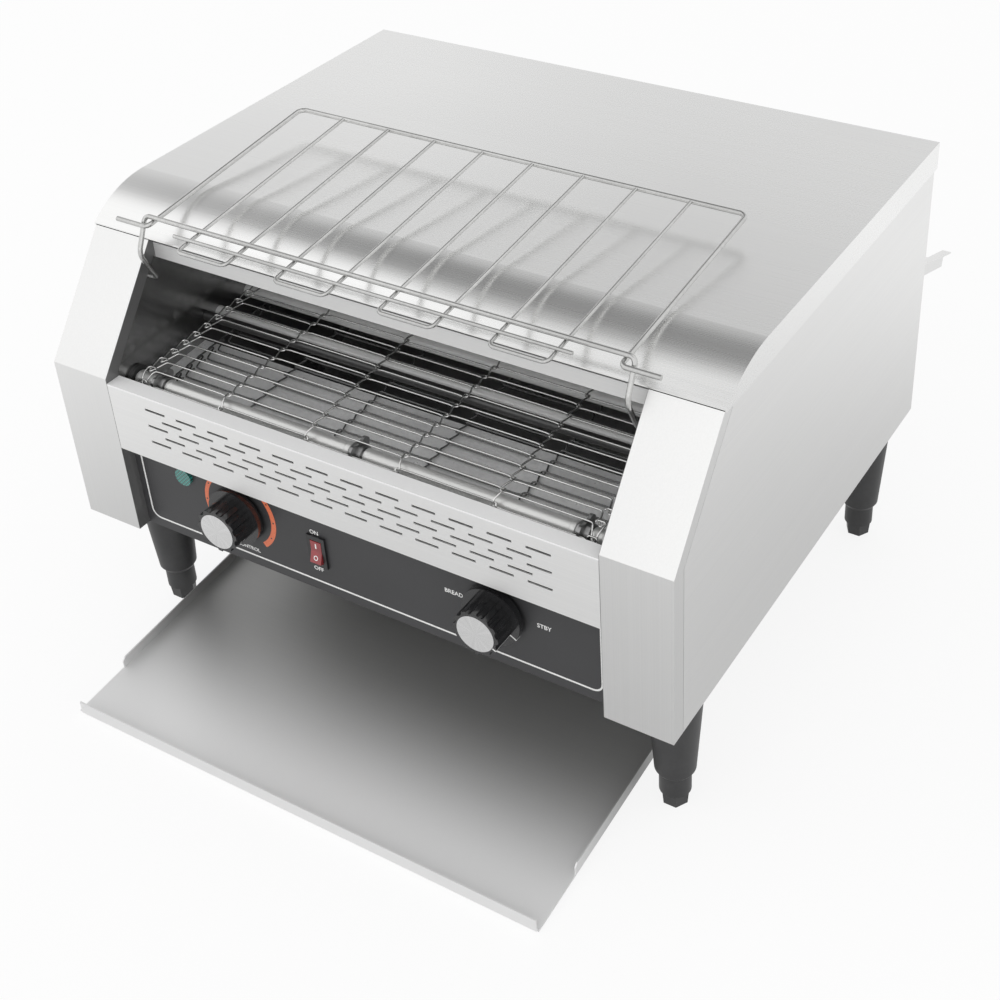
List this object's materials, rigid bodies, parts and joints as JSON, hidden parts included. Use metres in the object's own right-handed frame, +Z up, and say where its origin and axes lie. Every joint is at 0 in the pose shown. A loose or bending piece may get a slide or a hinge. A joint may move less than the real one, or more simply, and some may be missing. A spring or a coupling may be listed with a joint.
{
  "type": "conveyor toaster",
  "caption": "Countertop conveyor toaster: rolled stainless cover, wire belt between quartz heaters, slotted fascia, knobs and rocker, folding wire rack, sloping toast tray and screw feet.",
  "frame": {"origin": "on the floor, below the middle of the whole object's width and depth", "axes": "+X to the right as seen from the front, -Y to the front with the fascia and the tray, +Z up"},
  "size_m": [0.568, 0.648, 0.4117],
  "materials": {
    "shell_steel": "brushed, satin",
    "inner_steel": "satin",
    "cheek_steel": "dark, heat stained",
    "panel_grey": "satin with a printed border",
    "quartz": "frosted tube",
    "ceramic": "matt ceramic",
    "dark_steel": "dull, oiled",
    "belt_wire": "bright wire",
    "bright_steel": "turned",
    "motor_paint": "zinc plated",
    "fan_plastic": "moulded",
    "control_plastic": "moulded",
    "switch_black": "moulded",
    "rocker_red": "glossy",
    "lamp_green": "clear tinted lens",
    "knob_black": "satin gloss",
    "knob_metal": "turned face",
    "rack_chrome": "polished wire",
    "leg_black": "satin moulded"
  },
  "bodies": {
    "chassis": {"top_cover": "shell_steel", "side_panel_left": "shell_steel", "side_panel_right": "shell_steel", "rear_panel": "shell_steel", "base_pan": "shell_steel", "column_left": "shell_steel", "column_right": "shell_steel", "header_strip": "shell_steel", "cheek_left": "cheek_steel", "cheek_right": "cheek_steel", "vent_fascia": "shell_steel", "control_panel": "panel_grey", "box_shield": "inner_steel", "belt_deck": "inner_steel", "upper_reflector": "inner_steel", "toast_slide": "inner_steel", "rear_guard": "shell_steel", "upper_heaters": "quartz", "lower_heaters": "quartz", "heater_caps": "ceramic", "belt_rests": "dark_steel", "conveyor_belt": "belt_wire", "shaft_bushes": "dark_steel", "gear_motor": "motor_paint", "drive_chain": "dark_steel", "fan_frame": "fan_plastic", "terminal_block": "ceramic", "speed_controller": "control_plastic", "selector_switch": "control_plastic", "switch_body": "switch_black", "indicator_lamp": "lamp_green", "cable_gland": "switch_black", "tray_runners": "shell_steel", "leg_front_left": "leg_black", "leg_front_right": "leg_black", "leg_rear_left": "leg_black", "leg_rear_right": "leg_black"},
    "front_axle": {"front_shaft": "bright_steel", "front_rollers": "bright_steel", "front_sprockets": "bright_steel"},
    "drive_axle": {"drive_shaft": "bright_steel", "drive_sprockets": "bright_steel", "driven_sprocket": "bright_steel"},
    "motor_output": {"motor_sprocket": "bright_steel"},
    "fan_wheel": {"fan_rotor": "fan_plastic"},
    "speed_control": {"speed_knob": "knob_black", "speed_knob_cap": "knob_metal", "speed_spindle": "bright_steel"},
    "selector_control": {"selector_knob": "knob_black", "selector_knob_cap": "knob_metal", "selector_spindle": "bright_steel"},
    "power_rocker": {"rocker": "rocker_red"},
    "pull_out_tray": {"toast_tray": "shell_steel"},
    "loading_rack": {"rack_frame": "rack_chrome", "rack_wires": "rack_chrome", "rack_rail": "rack_chrome"},
    "screw_foot_front_left": {"foot_front_left": "leg_black"},
    "screw_foot_front_right": {"foot_front_right": "leg_black"},
    "screw_foot_rear_left": {"foot_rear_left": "leg_black"},
    "screw_foot_rear_right": {"foot_rear_right": "leg_black"}
  },
  "joints": [
    {"name": "rack_fold", "type": "hinge", "parent": "chassis", "child": "loading_rack", "pos_m": [0, -0.154, 0.337], "axis": [1, 0, 0], "range_deg": [0, 112]},
    {"name": "tray_pull", "type": "slide", "parent": "chassis", "child": "pull_out_tray", "axis": [0, -1, 0], "range_m": [0, 0.11]},
    {"name": "drive_spin", "type": "hinge", "parent": "chassis", "child": "drive_axle", "pos_m": [0, 0.19, 0.283], "axis": [-1, 0, 0], "continuous": true},
    {"name": "front_spin", "type": "hinge", "parent": "chassis", "child": "front_axle", "pos_m": [0, -0.19, 0.261], "axis": [-1, 0, 0], "continuous": true},
    {"name": "motor_spin", "type": "hinge", "parent": "chassis", "child": "motor_output", "pos_m": [0, 0.08, 0.197], "axis": [-1, 0, 0], "continuous": true},
    {"name": "fan_spin", "type": "hinge", "parent": "chassis", "child": "fan_wheel", "pos_m": [0.05, -0.1608, 0.1387], "axis": [0, 0, 1], "continuous": true},
    {"name": "speed_turn", "type": "hinge", "parent": "chassis", "child": "speed_control", "pos_m": [-0.116, -0.222, 0.176], "axis": [0, 1, 0], "range_deg": [0, 300]},
    {"name": "selector_turn", "type": "hinge", "parent": "chassis", "child": "selector_control", "pos_m": [0.129, -0.222, 0.176], "axis": [0, 1, 0], "range_deg": [0, 120]},
    {"name": "rocker_tilt", "type": "hinge", "parent": "chassis", "child": "power_rocker", "pos_m": [-0.038, -0.2105, 0.167], "axis": [1, 0, 0], "range_deg": [0, 18]},
    {"name": "foot_turn_front_left", "type": "hinge", "parent": "chassis", "child": "screw_foot_front_left", "pos_m": [-0.2541, -0.165, 0.015], "axis": [0, 0, 1], "continuous": true},
    {"name": "foot_turn_front_right", "type": "hinge", "parent": "chassis", "child": "screw_foot_front_right", "pos_m": [0.2541, -0.165, 0.015], "axis": [0, 0, 1], "continuous": true},
    {"name": "foot_turn_rear_left", "type": "hinge", "parent": "chassis", "child": "screw_foot_rear_left", "pos_m": [-0.2541, 0.208, 0.015], "axis": [0, 0, 1], "continuous": true},
    {"name": "foot_turn_rear_right", "type": "hinge", "parent": "chassis", "child": "screw_foot_rear_right", "pos_m": [0.2541, 0.208, 0.015], "axis": [0, 0, 1], "continuous": true}
  ],
  "couplings": [
    {"joint": "front_spin", "follows": "drive_spin", "ratio": 1},
    {"joint": "motor_spin", "follows": "drive_spin", "ratio": 2}
  ]
}
